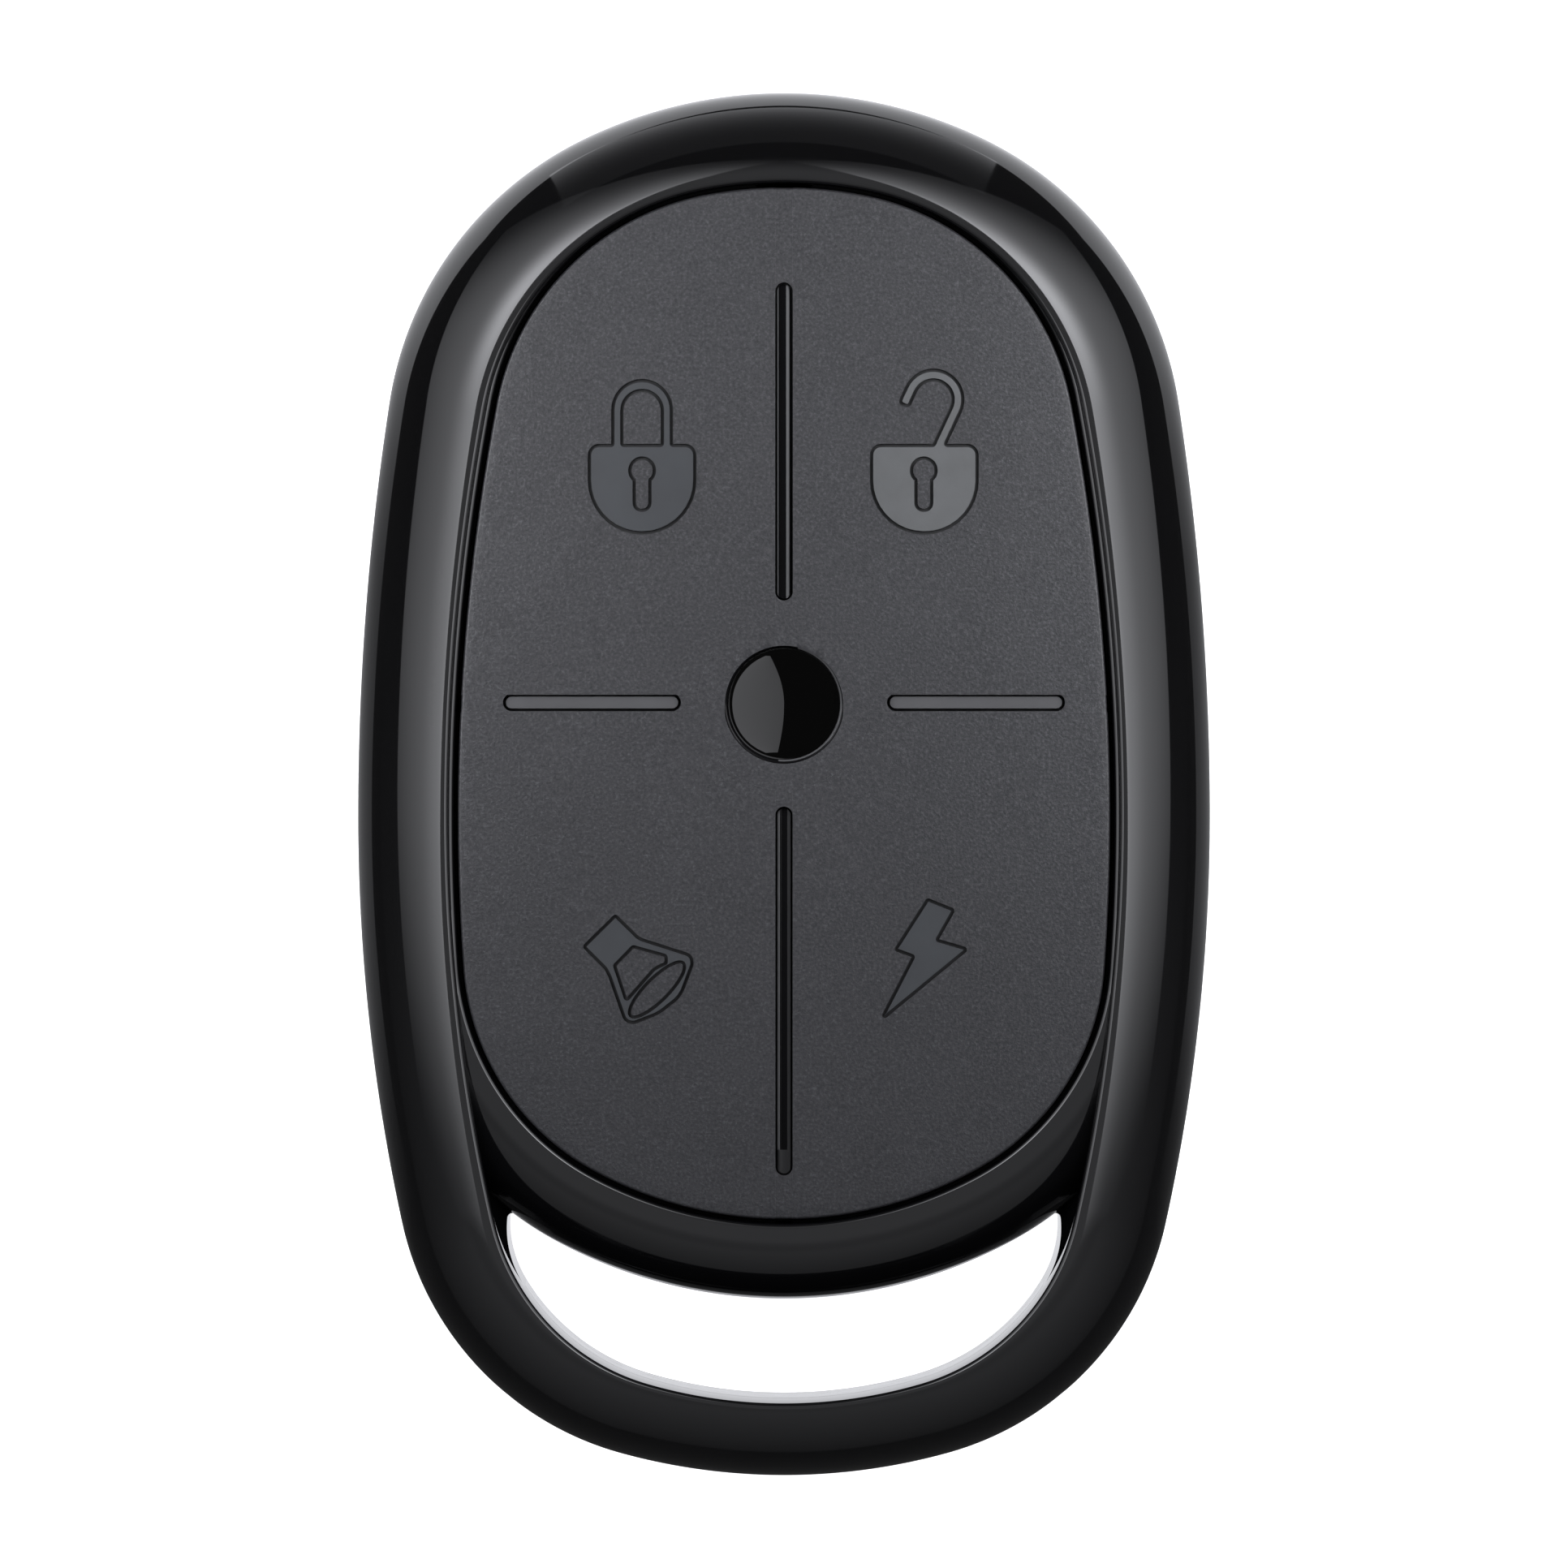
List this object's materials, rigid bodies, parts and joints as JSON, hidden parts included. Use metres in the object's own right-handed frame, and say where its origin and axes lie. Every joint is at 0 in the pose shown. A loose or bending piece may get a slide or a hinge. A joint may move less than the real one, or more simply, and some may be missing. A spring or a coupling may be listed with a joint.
{
  "type": "garage door remote",
  "caption": "Pocket radio remote: glossy oval case with a key-ring loop, matte key panel divided by a cross of grooves, and a domed status lens in the middle.",
  "frame": {"origin": "under the middle of the case, on its flat back", "axes": "+Z out of the key side, +Y from the key-ring slot to the rounded top, +X to the right of the keys as they are read"},
  "size_m": [0.04, 0.065, 0.0124],
  "materials": {
    "case_black": "high-gloss black ABS moulding",
    "key_grey": "fine spark-textured dark grey ABS",
    "frame_grey": "satin to polished dark grey ABS",
    "smoked_lens": "polished smoked polycarbonate",
    "screw_steel": "black-zinc plated pan head screw",
    "board_green": "green solder mask on glass-filled epoxy",
    "cell_steel": "nickel-plated steel, brushed",
    "seal_grey": "moulded polypropylene ring",
    "cell_filling": "pressed pellet, separator and lithium disc",
    "spring_steel": "bright pressed spring steel",
    "gold_contact": "gold-plated contact pad",
    "copper_track": "bare copper track",
    "chip_black": "black epoxy moulding compound",
    "resonator_can": "gold-flashed ceramic package lid",
    "light_white": "white resin light-emitting diode",
    "chip_part_ceramic": "fired ceramic chip part",
    "switch_black": "moulded switch base",
    "stem_brown": "moulded switch stem"
  },
  "bodies": {
    "case": {"front_shell": "case_black", "rear_shell": "case_black", "key_frame": "frame_grey", "status_lens": "smoked_lens", "case_screw_top": "screw_steel", "case_screw_left": "screw_steel", "case_screw_right": "screw_steel", "circuit_board": "board_green", "cell_can": "cell_steel", "cell_cap": "cell_steel", "cell_seal": "seal_grey", "cell_filling": "cell_filling", "battery_clip": "spring_steel", "negative_contact": "gold_contact", "loop_antenna": "copper_track", "encoder_chip": "chip_black", "resonator": "resonator_can", "radio_transistor": "chip_black", "status_light": "light_white", "chip_part_1": "chip_part_ceramic", "chip_part_2": "chip_part_ceramic", "chip_part_3": "chip_part_ceramic", "chip_part_4": "chip_part_ceramic", "lock_switch_base": "switch_black", "lock_switch_cover": "spring_steel", "unlock_switch_base": "switch_black", "unlock_switch_cover": "spring_steel", "horn_switch_base": "switch_black", "horn_switch_cover": "spring_steel", "flash_switch_base": "switch_black", "flash_switch_cover": "spring_steel"},
    "lock_key_body": {"lock_key": "key_grey"},
    "lock_stem_body": {"lock_switch_stem": "stem_brown"},
    "unlock_key_body": {"unlock_key": "key_grey"},
    "unlock_stem_body": {"unlock_switch_stem": "stem_brown"},
    "horn_key_body": {"horn_key": "key_grey"},
    "horn_stem_body": {"horn_switch_stem": "stem_brown"},
    "flash_key_body": {"flash_key": "key_grey"},
    "flash_stem_body": {"flash_switch_stem": "stem_brown"}
  },
  "joints": [
    {"name": "lock_key_press", "type": "slide", "parent": "case", "child": "lock_key_body", "axis": [0, 0, -1], "range_m": [0, 0.0004], "stiffness_N_per_m": 2000},
    {"name": "lock_stem_press", "type": "slide", "parent": "case", "child": "lock_stem_body", "axis": [0, 0, -1], "range_m": [0, 0.00025]},
    {"name": "unlock_key_press", "type": "slide", "parent": "case", "child": "unlock_key_body", "axis": [0, 0, -1], "range_m": [0, 0.0004], "stiffness_N_per_m": 2000},
    {"name": "unlock_stem_press", "type": "slide", "parent": "case", "child": "unlock_stem_body", "axis": [0, 0, -1], "range_m": [0, 0.00025]},
    {"name": "horn_key_press", "type": "slide", "parent": "case", "child": "horn_key_body", "axis": [0, 0, -1], "range_m": [0, 0.0004], "stiffness_N_per_m": 2000},
    {"name": "horn_stem_press", "type": "slide", "parent": "case", "child": "horn_stem_body", "axis": [0, 0, -1], "range_m": [0, 0.00025]},
    {"name": "flash_key_press", "type": "slide", "parent": "case", "child": "flash_key_body", "axis": [0, 0, -1], "range_m": [0, 0.0004], "stiffness_N_per_m": 2000},
    {"name": "flash_stem_press", "type": "slide", "parent": "case", "child": "flash_stem_body", "axis": [0, 0, -1], "range_m": [0, 0.00025]}
  ],
  "couplings": [
    {"joint": "lock_stem_press", "follows": "lock_key_press", "ratio": 0.625},
    {"joint": "unlock_stem_press", "follows": "unlock_key_press", "ratio": 0.625},
    {"joint": "horn_stem_press", "follows": "horn_key_press", "ratio": 0.625},
    {"joint": "flash_stem_press", "follows": "flash_key_press", "ratio": 0.625}
  ]
}
